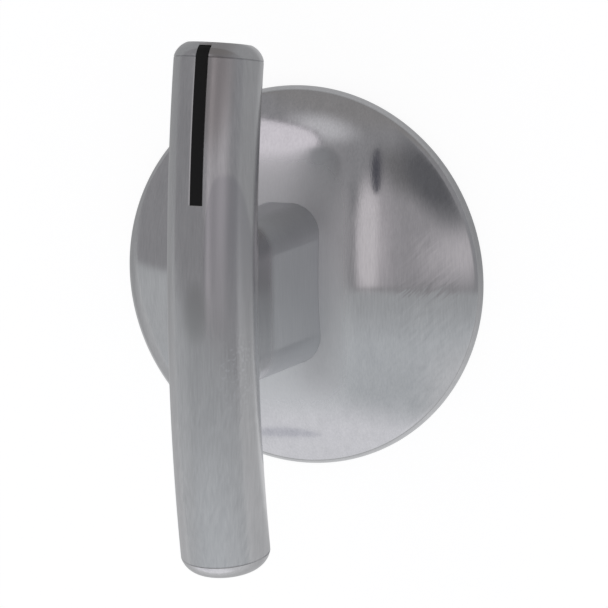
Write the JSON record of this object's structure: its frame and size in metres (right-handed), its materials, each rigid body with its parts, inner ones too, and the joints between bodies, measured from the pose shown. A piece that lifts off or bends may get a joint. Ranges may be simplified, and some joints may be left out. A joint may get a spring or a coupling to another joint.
{
  "type": "stove knob",
  "caption": "Brushed metal stove knob: a bowed round bar handle on a neck, a domed hollow skirt, a black indicator line and a stem socket with a spring ring behind",
  "frame": {"origin": "middle of the skirt's flat back rim, on the stem axis", "axes": "+Z along the stem axis away from the appliance, +Y along the bar to the end with the indicator line, +X to the right of the bar seen from the front with the line up"},
  "size_m": [0.05, 0.0698, 0.0372],
  "materials": {
    "brushed_metal": "fine brushed, half gloss",
    "black_inlay": "smooth black",
    "black_plastic": "moulded, fine grain",
    "spring_steel": "bright rolled",
    "plated_screw": "bright plated"
  },
  "bodies": {
    "root": {"skirt": "brushed_metal", "bar_handle": "brushed_metal", "indicator_line": "black_inlay", "shaft_hub": "black_plastic", "spring_ring": "spring_steel", "hub_screws": "plated_screw"}
  },
  "joints": []
}
